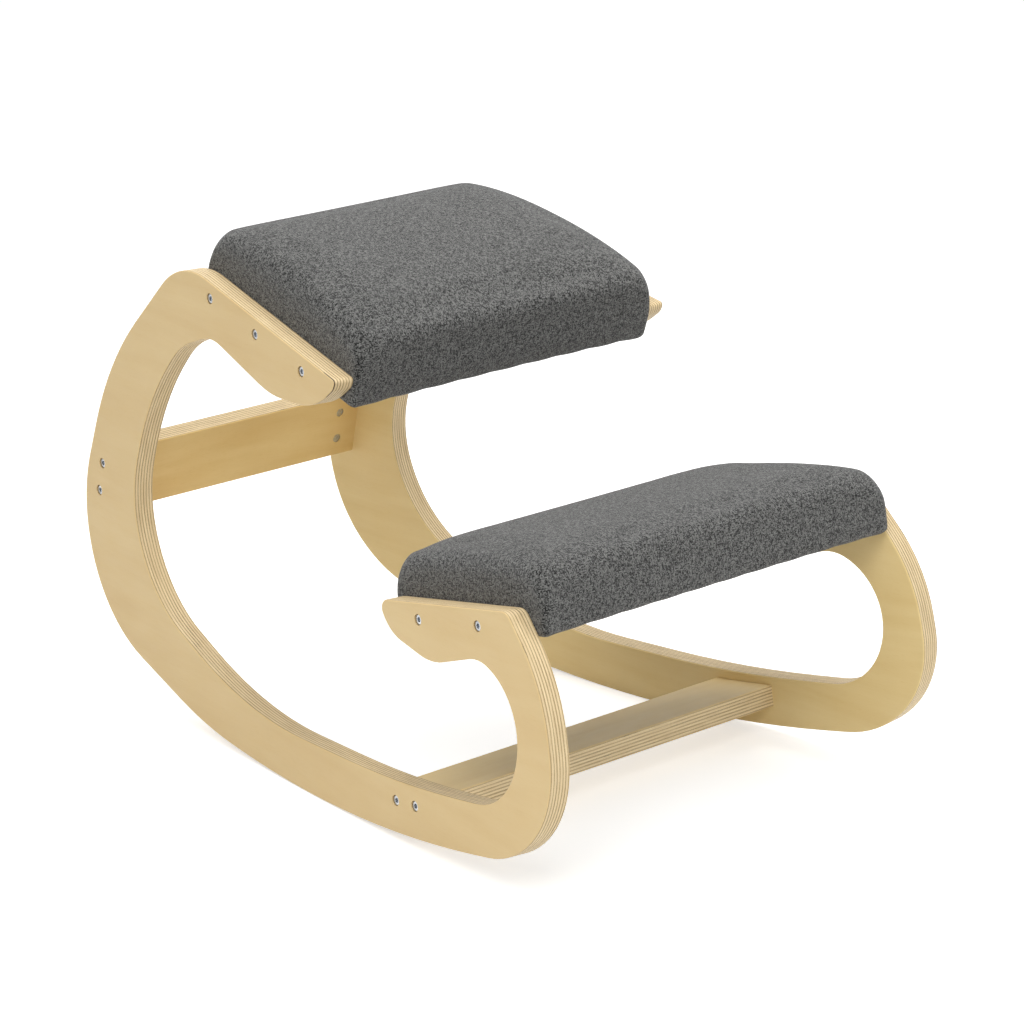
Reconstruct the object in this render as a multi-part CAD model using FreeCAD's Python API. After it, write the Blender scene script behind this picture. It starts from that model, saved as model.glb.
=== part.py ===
import FreeCAD, Part
import math
import os
from FreeCAD import Matrix, Vector

# Rocking kneeling chair: two cut plywood side frames, two crossbars, a seat pad and a knee pad.
# The frames splay towards the front, so both pads are wider in front than behind.
# Millimetres. X is the width, the chair faces -Y and Z is up. Left and right are the sitter's:
# the sitter's left is +X. The origin is under the middle of the chair, on the floor.

# Side profile. Points are (forward of the rear, height, round of the corner) in the frame's plane.
PLY = 24.0
SEAT_ARM_REAR = (197.5, 518.0)
SEAT_SLOPE = 13.1
SEAT_ARM_LENGTH = 296.5
SEAT_ARM_TIP_ROUND = 4.0
SEAT_ARM_REAR_ROUND = 92.5
KNEE_ARM_TIP = (565.0, 245.5)
KNEE_SLOPE = -12.1
KNEE_ARM_LENGTH = 217.5
KNEE_ARM_TIP_ROUND = 9.7
KNEE_ARM_FRONT_ROUND = 14.0
BACK_AND_ROCKER = [
    (49.0, 374.5, 340.0),
    (-9.5, 210.5, 155.5),
    (32.5, 78.5, 160.5),
    (244.0, 13.5, 505.0),
    (521.5, -12.0, 1485.0),
    (795.5, 41.0, 125.0),
    (862.0, 112.5, 108.5),
    (836.0, 230.5, 177.0),
]
INSIDE_OF_ROCKER = [
    (799.5, 211.5, 71.5),
    (798.5, 93.0, 77.0),
    (601.5, 61.5, 1500.0),
    (328.0, 53.0, 507.0),
    (131.0, 130.0, 153.0),
    (95.0, 236.0, 125.0),
    (131.0, 350.5, 299.0),
    (197.0, 424.0, 98.5),
]
# Undersides of the arms: (share of the arm's length, distance below its top, round of the corner)
SEAT_ARM_UNDERSIDE = [(0.2496, 56.0, 52.0), (0.6459, 66.5, 122.0), (0.9056, 46.0, 95.0),
                      (1.0, 9.8, 17.0)]
KNEE_ARM_UNDERSIDE = [(0.0621, 32.5, 50.0), (0.3724, 60.0, 74.0), (0.7425, 48.5, 47.5)]
EDGE_ROUND = 1.5

# Pads
SEAT_WIDTH = 410.0
SEAT_DEPTH = 282.0
SEAT_SETBACK = 19.0
SEAT_SINK = 34.0
SEAT_EDGE = 71.5
SEAT_CROWN = 19.0
KNEE_WIDTH = 480.0
KNEE_DEPTH = 241.0
KNEE_SETBACK = 0.0
KNEE_SINK = 27.0
KNEE_EDGE = 69.0
KNEE_CROWN = 12.0
CROWN_FULLNESS_ALONG = 3.5
CROWN_FULLNESS_ACROSS = 10.0
PAD_EDGE_ROUND = 16.0
PAD_CORNER_ROUND = 11.0
PAD_DRAW_IN = 3.0
PAD_TUCK = 5.0
PAD_WRAP = 9.0
BASE_CORNER_ROUND = 6.0
PAD_GAP = 0.3
COVER = 1.2
HEM = 24.0
DUST_COVER = 0.6
DUST_COVER_MARGIN = 15.0
RAIL_WIDTH = 24.0
RAIL_HEIGHT = 28.0
PANEL = 9.0

# Crossbars. Both are cut from the same board.
BAR_HEIGHT = 76.0
BAR_THICKNESS = 24.0
BAR_BOLT_PITCH = 33.0
REAR_BAR_PLACE = (31.5, 239.5)
REAR_BAR_LEAN = 12.0
FRONT_BAR_PLACE = (616.0, 45.0)
FRONT_BAR_RISE = 7.5

# Bolts, threaded inserts and barrel nuts
BOLT = 6.0
BOLT_HEAD = 10.0
BOLT_HEAD_HEIGHT = 6.0
BOLT_HEAD_ROUND = 0.5
HEX_SOCKET = 5.0
HEX_SOCKET_DEPTH = 3.0
HEX_CORNERS = 6
HEAD_RECESS = 1.5
HOLE_CLEARANCE = 0.3
COUNTERBORE_CLEARANCE = 0.8
ARM_BOLT_DROP = 17.0
SEAT_BOLTS = (64.0, 151.5, 239.0)
KNEE_BOLTS = (67.0, 167.0)
PAD_BOLT_LENGTH = 30.0
BAR_BOLT_LENGTH = 50.0
INSERT = 10.0
INSERT_LENGTH = 15.0
BARREL_NUT = 10.0
BARREL_NUT_LENGTH = 20.0
BARREL_NUT_INSET = 26.0
BARREL_NUT_CLEARANCE = 0.15
BORE_SPARE = 3.0

# Where the padded form is drawn: shares of its length, angles round its side edge, shares of
# its half width
CROWN_STEPS = (0.08, 0.2, 0.35)
SIDE_ANGLES = (0, 30, 60, 90)
WIDTH_STEPS = (0.8, 0.6, 0.3)

# Screws from the pad's rails up into its panel, and staples in the covers
SCREW = 4.0
SCREW_HEAD = 8.0
SCREW_HEAD_HEIGHT = 3.0
SCREW_BITE = 7.0
SCREW_PITCH = 110.0
STAPLE_CROWN = 11.0
STAPLE_WIRE = 1.0
STAPLE_LEG = 8.0
STAPLE_PITCH = 48.0
STAPLE_EDGE = 17.0

FAR = 1500.0
QUARTER = 90.0
TOUCH = 1e-4
DRILL_OVERRUN = 1.0


def turned(along, below, slope, start):
    """Profile point that lies so far along a sloping arm's top and so far below it."""
    angle = math.radians(slope)
    forward = start[0] + along * math.cos(angle) - below * math.sin(angle)
    height = start[1] - along * math.sin(angle) - below * math.cos(angle)
    return forward, height


def arm_corner(corner, length, slope, start):
    """Corner of an arm's outline, given along the arm, as a corner of the profile."""
    return turned(corner[0] * length, corner[1], slope, start) + (corner[2],)


def rounded_outline(corners):
    """Closed wire through straight lines and tangent arcs, one arc for each corner."""
    points = [Vector(c[0], c[1], 0) for c in corners]
    count = len(points)
    reach = []
    for i, corner in enumerate(corners):
        back = points[i - 1] - points[i]
        ahead = points[(i + 1) % count] - points[i]
        reach.append(corner[2] / math.tan(back.getAngle(ahead) / 2))
    share = []
    for i in range(count):
        side = (points[(i + 1) % count] - points[i]).Length
        share.append(min(1.0, side / (reach[i] + reach[(i + 1) % count])))
    edges = []
    last = None
    first = None
    for i in range(count):
        back = (points[i - 1] - points[i]).normalize()
        ahead = (points[(i + 1) % count] - points[i]).normalize()
        cut = reach[i] * min(share[i - 1], share[i])
        start = points[i] + back * cut
        end = points[i] + ahead * cut
        inward = (back + ahead).normalize()
        half = back.getAngle(ahead) / 2
        radius = cut * math.tan(half)
        middle = points[i] + inward * (radius / math.sin(half) - radius)
        if last is None:
            first = start
        elif (start - last).Length > TOUCH:
            edges.append(Part.LineSegment(last, start).toShape())
        else:
            start = last
        if i == count - 1 and (end - first).Length <= TOUCH:
            end = first
        edges.append(Part.Arc(start, middle, end).toShape())
        last = end
    if (last - first).Length > TOUCH:
        edges.append(Part.LineSegment(last, first).toShape())
    return Part.Wire(edges)


def frame_outline():
    """Outline of a side frame, from the tip of the seat arm over the back and round."""
    corners = [turned(SEAT_ARM_LENGTH, 0, SEAT_SLOPE, SEAT_ARM_REAR) + (SEAT_ARM_TIP_ROUND,)]
    corners.append(SEAT_ARM_REAR + (SEAT_ARM_REAR_ROUND,))
    corners += BACK_AND_ROCKER
    corners.append(turned(KNEE_ARM_LENGTH, 0, KNEE_SLOPE, KNEE_ARM_TIP) + (KNEE_ARM_FRONT_ROUND,))
    corners.append(KNEE_ARM_TIP + (KNEE_ARM_TIP_ROUND,))
    corners += [arm_corner(c, KNEE_ARM_LENGTH, KNEE_SLOPE, KNEE_ARM_TIP)
                for c in KNEE_ARM_UNDERSIDE]
    corners += INSIDE_OF_ROCKER
    corners += [arm_corner(c, SEAT_ARM_LENGTH, SEAT_SLOPE, SEAT_ARM_REAR)
                for c in SEAT_ARM_UNDERSIDE]
    return rounded_outline(corners)


def seat_square(point):
    """Profile point as (down the seat's slope, square to the seat)."""
    angle = math.radians(SEAT_SLOPE)
    along = point[0] * math.cos(angle) - point[1] * math.sin(angle)
    square = point[0] * math.sin(angle) + point[1] * math.cos(angle)
    return along, square


# The frames stand square to the seat panel and splay by what the two pads' widths ask for.
SEAT_FRONT = seat_square(turned(SEAT_SETBACK + SEAT_DEPTH, 0, SEAT_SLOPE, SEAT_ARM_REAR))
KNEE_FRONT = seat_square(turned(KNEE_SETBACK + KNEE_DEPTH, 0, KNEE_SLOPE, KNEE_ARM_TIP))
SPLAY = math.asin((KNEE_WIDTH - SEAT_WIDTH) / 2 / (KNEE_FRONT[0] - SEAT_FRONT[0]))
HALF_GAP = SEAT_WIDTH / 2 + PAD_GAP - SEAT_FRONT[0] * math.sin(SPLAY)


def right_axes():
    """Forward, up and outward directions of the right side frame."""
    angle = math.radians(SEAT_SLOPE)
    down_slope = Vector(-math.sin(SPLAY), -math.cos(SPLAY) * math.cos(angle),
                        -math.cos(SPLAY) * math.sin(angle))
    square = Vector(0, -math.sin(angle), math.cos(angle))
    forward = down_slope * math.cos(angle) + square * math.sin(angle)
    up = square * math.cos(angle) - down_slope * math.sin(angle)
    return forward, up, forward.cross(up)


FORWARD, UP, OUTWARD = right_axes()
RIGHT_START = Vector(-HALF_GAP, 0, 0)


def on_right(point, out=0.0):
    """Place in space of a profile point, so far outward of the right frame's inner face."""
    return RIGHT_START + FORWARD * point[0] + UP * point[1] + OUTWARD * out


def right_side(shape):
    """A shape drawn on the frame's plane, moved to the right frame."""
    return shape.transformed(Matrix(
        FORWARD.x, UP.x, OUTWARD.x, RIGHT_START.x,
        FORWARD.y, UP.y, OUTWARD.y, RIGHT_START.y,
        FORWARD.z, UP.z, OUTWARD.z, RIGHT_START.z,
        0, 0, 0, 1))


def other_side(shape):
    """The same piece on the left side."""
    return shape.mirror(Vector(0, 0, 0), Vector(1, 0, 0))


def rod(point, out_from, out_to, diameter):
    """Round bar square to the frame, between two distances outward of its inner face."""
    return Part.makeCylinder(diameter / 2, out_to - out_from, Vector(point[0], point[1], out_from))


def bolt(point, length):
    """Socket head bolt with its head in the frame's counterbore."""
    seat = PLY - HEAD_RECESS - BOLT_HEAD_HEIGHT
    head = rod(point, seat, PLY - HEAD_RECESS, BOLT_HEAD)
    half_height = seat + BOLT_HEAD_HEIGHT / 2
    head = head.makeFillet(BOLT_HEAD_ROUND,
                           [e for e in head.Edges if e.CenterOfMass.z > half_height])
    step = 2 * math.pi / HEX_CORNERS
    socket_round = HEX_SOCKET / 2 / math.cos(step / 2)
    corners = [
        Vector(point[0] + socket_round * math.cos(step * i),
               point[1] + socket_round * math.sin(step * i),
               PLY - HEAD_RECESS - HEX_SOCKET_DEPTH)
        for i in range(HEX_CORNERS + 1)
    ]
    socket = Part.Face(Part.makePolygon(corners))
    socket = socket.extrude(Vector(0, 0, HEX_SOCKET_DEPTH + DRILL_OVERRUN))
    return head.cut(socket).fuse(rod(point, seat - length, seat, BOLT)).removeSplitter()


def insert(point):
    """Threaded insert in a pad's rail."""
    face = -PAD_GAP - COVER
    body = rod(point, face - INSERT_LENGTH, face, INSERT)
    return body.cut(rod(point, face - INSERT_LENGTH - DRILL_OVERRUN, face + DRILL_OVERRUN, BOLT))


def bar_bolts(place, angle):
    """Profile points of the two bolts in a crossbar's end."""
    half = BAR_BOLT_PITCH / 2
    step = (half * math.cos(math.radians(angle)), half * math.sin(math.radians(angle)))
    return [(place[0] - step[0], place[1] - step[1]), (place[0] + step[0], place[1] + step[1])]


def barrel_nut(point, angle, diameter, length):
    """Cross dowel that a crossbar's bolt screws into, put in from the bar's front or underside."""
    axis = Vector(math.sin(math.radians(angle)), -math.cos(math.radians(angle)), 0)
    middle = Vector(point[0], point[1], -BARREL_NUT_INSET)
    start = middle - axis * (BARREL_NUT_LENGTH / 2)
    return Part.makeCylinder(diameter / 2, length, start, axis)


SEAT_BOLT_POINTS = [turned(a, ARM_BOLT_DROP, SEAT_SLOPE, SEAT_ARM_REAR) for a in SEAT_BOLTS]
KNEE_BOLT_POINTS = [turned(a, ARM_BOLT_DROP, KNEE_SLOPE, KNEE_ARM_TIP) for a in KNEE_BOLTS]
REAR_BAR_ANGLE = QUARTER - REAR_BAR_LEAN
REAR_BOLT_POINTS = bar_bolts(REAR_BAR_PLACE, REAR_BAR_ANGLE)
FRONT_BOLT_POINTS = bar_bolts(FRONT_BAR_PLACE, FRONT_BAR_RISE)
PAD_BOLT_POINTS = SEAT_BOLT_POINTS + KNEE_BOLT_POINTS
BAR_BOLT_POINTS = REAR_BOLT_POINTS + FRONT_BOLT_POINTS


def side_frame():
    """Plywood side frame with a counterbored hole for each bolt."""
    plate = Part.Face(frame_outline()).extrude(Vector(0, 0, PLY))
    rims = [e for e in plate.Edges if e.BoundBox.ZLength < TOUCH]
    plate = plate.makeFillet(EDGE_ROUND, rims)
    head_seat = PLY - HEAD_RECESS - BOLT_HEAD_HEIGHT
    drills = []
    for point in PAD_BOLT_POINTS + BAR_BOLT_POINTS:
        drills.append(rod(point, -DRILL_OVERRUN, PLY + DRILL_OVERRUN, BOLT + 2 * HOLE_CLEARANCE))
        drills.append(rod(point, head_seat, PLY + DRILL_OVERRUN,
                          BOLT_HEAD + 2 * COUNTERBORE_CLEARANCE))
    return plate.cut(drills)


def between_frames(inset=0.0):
    """Space between the side frames, less an inset from each inner face."""
    wall = right_side(Part.makeBox(4 * FAR, 4 * FAR, FAR, Vector(-2 * FAR, -2 * FAR, -inset)))
    room = Part.makeBox(2 * FAR, 4 * FAR, 4 * FAR, Vector(-FAR, -2 * FAR, -2 * FAR))
    return room.cut([wall, other_side(wall)])


def half_gap(y, z):
    """Half the distance between the frames' inner faces at a place in the side view."""
    flat = OUTWARD.y * (y - RIGHT_START.y) + OUTWARD.z * (z - RIGHT_START.z)
    return flat / OUTWARD.x - RIGHT_START.x


def crossbar(place, angle, bolt_points):
    """Board between the frames, bored in its ends for bolts and across for barrel nuts."""
    middle = on_right(place, -BARREL_NUT_INSET / 2)
    board = Part.makeBox(2 * FAR, BAR_HEIGHT, BAR_THICKNESS,
                         Vector(-FAR, -BAR_HEIGHT / 2, -BAR_THICKNESS / 2))
    long_edges = [e for e in board.Edges if e.Length > FAR]
    board = board.makeFillet(EDGE_ROUND, long_edges)
    board.rotate(Vector(0, 0, 0), Vector(1, 0, 0), 2 * QUARTER - angle)
    board.translate(Vector(0, middle.y, middle.z))
    board = board.common(between_frames())
    bore_depth = BAR_BOLT_LENGTH - PLY + HEAD_RECESS + BOLT_HEAD_HEIGHT + BORE_SPARE
    for point in bolt_points:
        bores = [rod(point, -bore_depth, DRILL_OVERRUN, BOLT + 2 * HOLE_CLEARANCE)]
        bores.append(barrel_nut(point, angle, BARREL_NUT + 2 * BARREL_NUT_CLEARANCE,
                                BAR_THICKNESS))
        for bore in bores:
            drill = right_side(bore)
            board = board.cut([drill, other_side(drill)])
    return board


def fall_of_round(from_side, radius):
    """How far a rounded edge has fallen back at a distance from its side."""
    if from_side >= radius:
        return 0.0
    return radius - math.sqrt(radius ** 2 - (radius - from_side) ** 2)


class Pad:
    """Seat or knee pad: where it lies and how wide the frames leave it."""

    def __init__(self, start, slope, setback, depth, sink, edge, crown, bolt_points):
        angle = math.radians(slope)
        place = on_right(start)
        self.start = Vector(0, place.y, place.z)
        self.forward = Vector(0, -math.cos(angle), -math.sin(angle))
        self.up = Vector(0, -math.sin(angle), math.cos(angle))
        self.rear = setback
        self.front = setback + depth
        self.bottom = -sink
        self.edge = edge
        self.crown = crown
        self.bolt_points = bolt_points

    def point(self, across, along, up, inset=0.0):
        """Place of a point, with across from -1 at the right frame to 1 at the left frame."""
        place = self.start + self.forward * along + self.up * up
        place.x = across * (half_gap(place.y, place.z) + inset / OUTWARD.x)
        return place

    def slab(self, bottom, top, margin, inset, corner=0.0):
        """Part of the space between the frames, by heights and margins from the pad's edge."""
        block = Part.makeBox(2 * FAR, self.front - self.rear - 2 * margin, top - bottom,
                             Vector(-FAR, self.rear + margin, bottom))
        block.transformShape(Matrix(
            -1, 0, 0, 0,
            0, self.forward.y, self.up.y, self.start.y,
            0, self.forward.z, self.up.z, self.start.z,
            0, 0, 0, 1))
        block = block.common(between_frames(inset))
        if corner > 0:
            upright = [e for e in block.Edges if e.Length < 2 * (top - bottom)]
            block = block.makeFillet(corner, upright)
        return block

    def top_line(self, across, skin):
        """Crowned top from the rear side's upper end to the front's, as (along, up) places."""
        side_round = PAD_EDGE_ROUND - skin
        from_side = (1 - abs(across)) * (half_gap(self.start.y, self.start.z) - PAD_GAP - skin)
        draw = PAD_DRAW_IN * (1 - across ** 2) + skin
        draw += fall_of_round(from_side, PAD_CORNER_ROUND - skin)
        rear = self.rear + draw
        front = self.front - draw
        edge = self.bottom + self.edge - skin - fall_of_round(from_side, side_round)
        crown = self.crown * (1 - abs(across) ** CROWN_FULLNESS_ACROSS)
        slant = side_round * (1 - math.sin(math.radians(QUARTER / 2)))
        line = [(rear, edge - side_round), (rear + slant, edge - slant)]
        for share in CROWN_STEPS:
            rise = crown * (1 - (1 - 2 * share) ** CROWN_FULLNESS_ALONG)
            along = rear + side_round + (front - rear - 2 * side_round) * share
            line.append((along, edge + rise))
        middle = ((front + rear) / 2, edge + crown)
        return line + [middle] + [(front + rear - a, u) for a, u in reversed(line)]

    def section(self, across, skin):
        """Lengthwise outline of the padded form, drawn in between its corners."""
        inset = PAD_GAP + skin
        top = self.top_line(across, skin)
        low = self.bottom - PAD_TUCK
        waist = (low + top[0][1]) / 2
        ends = [(top[0][0] + PAD_TUCK / 4, waist), (top[0][0] + PAD_TUCK, low),
                (top[-1][0] - PAD_TUCK, low), (top[-1][0] - PAD_TUCK / 4, waist)]
        rear_waist, low_rear, low_front, front_waist = [
            self.point(across, along, up, inset) for along, up in ends]
        over = [self.point(across, along, up, inset) for along, up in top]
        knots = [0.0]
        middle_top = self.top_line(0.0, skin)
        for start, end in zip(middle_top, middle_top[1:]):
            knots.append(knots[-1] + math.dist(start, end))
        curve = Part.BSplineCurve()
        curve.interpolate(Points=over, Parameters=knots)
        return Part.Wire([
            Part.LineSegment(low_front, low_rear).toShape(),
            Part.Arc(low_rear, rear_waist, over[0]).toShape(),
            curve.toShape(),
            Part.Arc(over[-1], front_waist, low_front).toShape(),
        ])

    def form(self, skin):
        """Padded outer form, or what is inside it under a skin of the given thickness."""
        width = half_gap(self.start.y, self.start.z) - PAD_GAP - skin
        side_round = PAD_EDGE_ROUND - skin
        steps = []
        for angle in SIDE_ANGLES:
            steps.append(1 - side_round * (1 - math.cos(math.radians(angle))) / width)
        steps += WIDTH_STEPS
        places = steps + [0.0] + [-step for step in reversed(steps)]
        shape = Part.makeLoft([self.section(place, skin) for place in places], True, False)
        return shape.cut(self.slab(self.bottom - 2 * PAD_TUCK, self.bottom + skin, -PAD_TUCK, 0))


SEAT = Pad(SEAT_ARM_REAR, SEAT_SLOPE, SEAT_SETBACK, SEAT_DEPTH, SEAT_SINK, SEAT_EDGE, SEAT_CROWN,
           SEAT_BOLT_POINTS)
KNEE = Pad(KNEE_ARM_TIP, KNEE_SLOPE, KNEE_SETBACK, KNEE_DEPTH, KNEE_SINK, KNEE_EDGE, KNEE_CROWN,
           KNEE_BOLT_POINTS)


def hollow(outside, inside):
    """Closed shell of material between two forms, one wholly inside the other."""
    return Part.makeSolid(Part.makeCompound([outside.Shells[0], inside.Shells[0].reversed()]))


def fasten_points(pad, margin, pitch):
    """Evenly spaced places round a pad's underside, each with the direction along its edge."""
    places = []
    length = pad.front - pad.rear - 2 * margin
    count = max(2, round(length / pitch))
    for i in range(count):
        along = pad.rear + margin + length * (i + 0.5) / count
        for side in (-1, 1):
            place = pad.point(side, along, pad.bottom, margin)
            ahead = pad.point(side, along + 1, pad.bottom, margin) - place
            places.append((place, ahead.normalize()))
    for along in (pad.rear + margin, pad.front - margin):
        width = pad.point(1, along, pad.bottom, margin).x
        count = max(2, round(2 * width / pitch))
        for i in range(count):
            place = pad.point(0, along, pad.bottom)
            place.x = width * (2 * (i + 0.5) / count - 1)
            places.append((place, Vector(1, 0, 0)))
    return places


def staple(place, along, up):
    """Staple with its crown on the underside and its two legs driven up."""
    depth = along.cross(up)
    low = place - along * (STAPLE_CROWN / 2) - depth * (STAPLE_WIRE / 2) - up * STAPLE_WIRE
    outer = [
        low, low + along * STAPLE_CROWN, low + along * STAPLE_CROWN + up * STAPLE_LEG,
        low + along * (STAPLE_CROWN - STAPLE_WIRE) + up * STAPLE_LEG,
        low + along * (STAPLE_CROWN - STAPLE_WIRE) + up * STAPLE_WIRE,
        low + along * STAPLE_WIRE + up * STAPLE_WIRE, low + along * STAPLE_WIRE + up * STAPLE_LEG,
        low + up * STAPLE_LEG, low,
    ]
    return Part.Face(Part.makePolygon(outer)).extrude(depth * STAPLE_WIRE)


def panel_screw(place, up):
    """Countersunk wood screw from below, through a rail and into the panel."""
    head = Part.makeCone(SCREW_HEAD / 2, SCREW / 2, SCREW_HEAD_HEIGHT, place, up)
    shank = Part.makeCylinder(SCREW / 2, RAIL_HEIGHT + SCREW_BITE, place, up)
    return head.fuse(shank).removeSplitter()


def pad_pieces(pad):
    """All pieces of one pad by name."""
    rail_low = pad.bottom + COVER
    rail_top = rail_low + RAIL_HEIGHT
    panel_top = rail_top + PANEL
    edge = COVER + PAD_WRAP
    side = PAD_GAP + COVER
    inside = pad.form(COVER)
    base = pad.slab(rail_low, rail_top, edge, side, BASE_CORNER_ROUND)
    across = base.common(pad.slab(rail_low, rail_top, 0, side + RAIL_WIDTH))
    well = pad.slab(rail_low, rail_top, edge + RAIL_WIDTH, side)
    right_rail, left_rail = sorted(base.cut(across).Solids, key=lambda s: s.CenterOfMass.x)
    front_rail, rear_rail = sorted(across.cut(well).Solids, key=lambda s: s.CenterOfMass.y)
    panel = pad.slab(rail_top, panel_top, edge, side, BASE_CORNER_ROUND)
    foam = inside.cut(pad.slab(pad.bottom, panel_top, edge, 0))
    mouth = pad.slab(pad.bottom - DRILL_OVERRUN, rail_low + DRILL_OVERRUN, COVER + HEM, side + HEM)
    cover = hollow(pad.form(0.0), inside).cut(mouth)
    dust_cover = pad.slab(pad.bottom - DUST_COVER, pad.bottom, DUST_COVER_MARGIN,
                          PAD_GAP + DUST_COVER_MARGIN)
    screw_edge = edge + RAIL_WIDTH / 2
    screws = []
    for place, direction in fasten_points(pad, screw_edge, SCREW_PITCH):
        if abs(direction.x) > abs(direction.y):
            screws.append(panel_screw(place + pad.up * COVER, pad.up))
    staples = []
    for place, direction in fasten_points(pad, STAPLE_EDGE, STAPLE_PITCH):
        staples.append(staple(place - pad.up * DUST_COVER, direction, pad.up))
    inserts = [insert(point) for point in pad.bolt_points]
    right_inserts = right_side(Part.makeCompound(inserts))
    left_inserts = other_side(right_inserts)
    bolt_space = [rod(p, -PAD_BOLT_LENGTH, PLY, BOLT + 2 * HOLE_CLEARANCE)
                  for p in pad.bolt_points]
    insert_space = [rod(p, -side - INSERT_LENGTH, 0, INSERT) for p in pad.bolt_points]
    right_drill = right_side(Part.makeCompound(bolt_space))
    right_pocket = right_side(Part.makeCompound(insert_space))
    right_rail = right_rail.cut([right_pocket, right_drill] + staples)
    left_rail = left_rail.cut([other_side(right_pocket), other_side(right_drill)] + staples)
    cover = cover.cut([right_drill, other_side(right_drill)] + staples)
    return {
        "base_panel": panel.cut(screws),
        "right_rail": right_rail,
        "left_rail": left_rail,
        "front_rail": front_rail.cut(screws + staples),
        "rear_rail": rear_rail.cut(screws + staples),
        "foam": foam,
        "cover": cover,
        "dust_cover": dust_cover.cut(staples),
        "panel_screws": Part.makeCompound(screws),
        "cover_staples": Part.makeCompound(staples),
        "inserts_right": right_inserts,
        "inserts_left": left_inserts,
    }


def build():
    """Every piece of the chair by its node name, standing on the floor about the origin."""
    pieces = {}
    frame = right_side(side_frame())
    pieces["right_side_frame"] = frame
    pieces["left_side_frame"] = other_side(frame)
    pieces["rear_crossbar"] = crossbar(REAR_BAR_PLACE, REAR_BAR_ANGLE, REAR_BOLT_POINTS)
    pieces["front_crossbar"] = crossbar(FRONT_BAR_PLACE, FRONT_BAR_RISE, FRONT_BOLT_POINTS)
    bolt_sets = {
        "seat_bolts": [bolt(p, PAD_BOLT_LENGTH) for p in SEAT_BOLT_POINTS],
        "knee_bolts": [bolt(p, PAD_BOLT_LENGTH) for p in KNEE_BOLT_POINTS],
        "rear_crossbar_bolts": [bolt(p, BAR_BOLT_LENGTH) for p in REAR_BOLT_POINTS],
        "front_crossbar_bolts": [bolt(p, BAR_BOLT_LENGTH) for p in FRONT_BOLT_POINTS],
    }
    nut_sets = {
        "rear_barrel_nuts": (REAR_BAR_ANGLE, REAR_BOLT_POINTS),
        "front_barrel_nuts": (FRONT_BAR_RISE, FRONT_BOLT_POINTS),
    }
    for name, (angle, points) in nut_sets.items():
        nuts = []
        for point in points:
            nut = barrel_nut(point, angle, BARREL_NUT, BARREL_NUT_LENGTH)
            nuts.append(nut.cut(rod(point, -2 * BARREL_NUT_INSET, 0, BOLT)))
        bolt_sets[name] = nuts
    for name, shapes in bolt_sets.items():
        group = right_side(Part.makeCompound(shapes))
        pieces[name + "_right"] = group
        pieces[name + "_left"] = other_side(group)
    for prefix, pad in (("seat_", SEAT), ("knee_", KNEE)):
        for name, shape in pad_pieces(pad).items():
            pieces[prefix + name] = shape
    box = pieces["right_side_frame"].optimalBoundingBox(False)
    stand = Vector(0, -(box.YMin + box.YMax) / 2, -box.ZMin)
    for shape in pieces.values():
        shape.translate(stand)
    return pieces


os.makedirs("parts", exist_ok=True)
for node, shape in build().items():
    shape.exportStep("parts/" + node + ".step")
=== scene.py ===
import math

import bpy
import numpy as np
from bpy.props import EnumProperty, FloatProperty, FloatVectorProperty, PointerProperty
from mathutils import Matrix, Vector


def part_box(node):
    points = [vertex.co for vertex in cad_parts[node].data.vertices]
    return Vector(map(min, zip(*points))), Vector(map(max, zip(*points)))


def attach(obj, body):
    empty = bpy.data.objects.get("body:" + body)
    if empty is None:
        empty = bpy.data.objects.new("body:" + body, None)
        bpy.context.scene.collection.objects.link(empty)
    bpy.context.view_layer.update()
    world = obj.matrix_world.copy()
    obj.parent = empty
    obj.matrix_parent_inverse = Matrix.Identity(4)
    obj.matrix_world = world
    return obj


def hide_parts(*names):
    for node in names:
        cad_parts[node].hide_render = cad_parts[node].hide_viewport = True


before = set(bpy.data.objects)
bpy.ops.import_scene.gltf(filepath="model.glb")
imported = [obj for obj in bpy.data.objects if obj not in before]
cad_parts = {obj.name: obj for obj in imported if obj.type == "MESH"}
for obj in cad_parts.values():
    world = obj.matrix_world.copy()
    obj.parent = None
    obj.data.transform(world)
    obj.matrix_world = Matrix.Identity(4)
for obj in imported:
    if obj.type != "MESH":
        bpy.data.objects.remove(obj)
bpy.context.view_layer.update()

bl_info = {
    "name": "Rocking Kneeling Chair",
    "version": (1, 0, 0),
    "blender": (4, 5, 0),
    "location": "3D View > Sidebar > Chair",
    "description": "Dresses a plywood kneeling chair with veneer, woven cushions and fittings",
    "category": "Object",
}

# Directions of the right side frame and the place of its profile's origin, in metres. A profile
# point (forward, height) lies at its inner face. The left frame is its mirror image in X.
FRAME_FORWARD = Vector((-0.101226, -0.994863, 0.001195))
FRAME_UP = Vector((0.023556, -0.001195, 0.999722))
FRAME_OUTWARD = Vector((-0.994585, 0.101226, 0.023556))
FRAME_START = Vector((-0.1662266, 0.4225010, -0.0016745))
BOARD = 0.024
SEAT_ARM_TIP = Vector((-0.2287, -0.0578, 0.4453))

# Crossbars: middle of the face that shows, and the direction that face looks
REAR_BAR_FACE = (Vector((0, 0.3778, 0.2350)), Vector((0, -0.9781, -0.2079)))
FRONT_BAR_FACE = (Vector((0, -0.1903, 0.0557)), Vector((0, 0.1305, 0.9914)))

# Camera that took the photograph
CAMERA_PLACE = (-2.59715, -2.92038, 1.50734)
CAMERA_AZIMUTH = -42.360
CAMERA_ELEVATION = 17.673
CAMERA_LENS = 136.737
CAMERA_SHIFT = (-0.00113, -0.00692)

# Plies from the outer face inward as shares of the board: where each ends, and its kind
FACE_PLY = 0.050
CROSS_PLY = 0.036
LONG_PLY = 0.108
CROSS_PLIES = 7


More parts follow.
